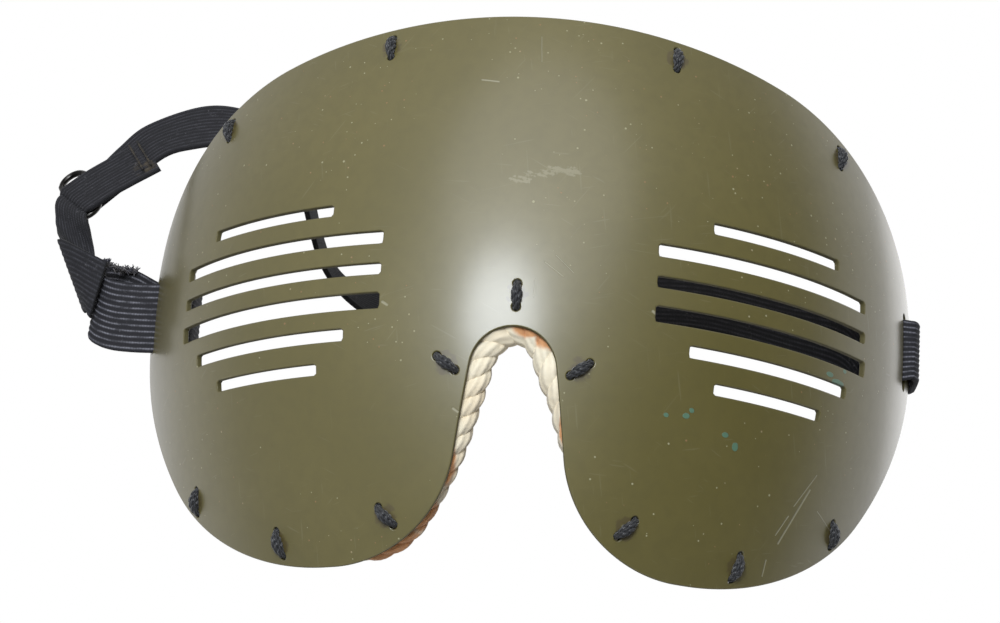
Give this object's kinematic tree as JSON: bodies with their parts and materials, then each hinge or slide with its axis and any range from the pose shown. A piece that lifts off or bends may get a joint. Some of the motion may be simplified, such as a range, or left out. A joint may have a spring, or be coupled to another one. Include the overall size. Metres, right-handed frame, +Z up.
{
  "type": "flak goggles",
  "caption": "Slitted steel eye mask with a nose notch, a cotton rope pad sewn round its rim, and an elastic headband with a wire slide.",
  "frame": {"origin": "middle of the line between the two strap slots, where the mask is held against the face", "axes": "+Z up as worn, the front faces -Y, +X is the wearer's left"},
  "size_m": [0.1923, 0.0835, 0.1104],
  "materials": {
    "plate": "worn satin olive drab",
    "rope": "undyed cotton",
    "thread": "waxed",
    "elastic": "ribbed",
    "sewing": "plain",
    "wire": "worn black"
  },
  "bodies": {
    "mask": {"shell": "plate", "rim_rope": "rope", "stitch_nose_top": "thread", "stitch_nose_left": "thread", "stitch_nose_right": "thread", "stitch_brow_left": "thread", "stitch_brow_right": "thread", "stitch_temple_left": "thread", "stitch_temple_right": "thread", "stitch_cheek_inner_left": "thread", "stitch_cheek_inner_right": "thread", "stitch_cheek_left": "thread", "stitch_cheek_right": "thread", "stitch_cheek_outer_left": "thread", "stitch_cheek_outer_right": "thread", "left_loop": "elastic", "left_loop_fray": "elastic", "right_loop": "elastic"},
    "headband": {"headband_long": "elastic", "headband_short": "elastic", "headband_sewing": "sewing"},
    "slide": {"wire_slide": "wire"}
  },
  "joints": [
    {"name": "headband_swing", "type": "hinge", "parent": "mask", "child": "headband", "pos_m": [0, 0, 0], "axis": [-1, 0, 0], "range_deg": [0, 100]},
    {"name": "slide_rock", "type": "hinge", "parent": "headband", "child": "slide", "pos_m": [-0.09889, 0.0139, 0.0299], "axis": [0.4208, -0.6211, -0.6612], "range_deg": [-5, 5]}
  ]
}
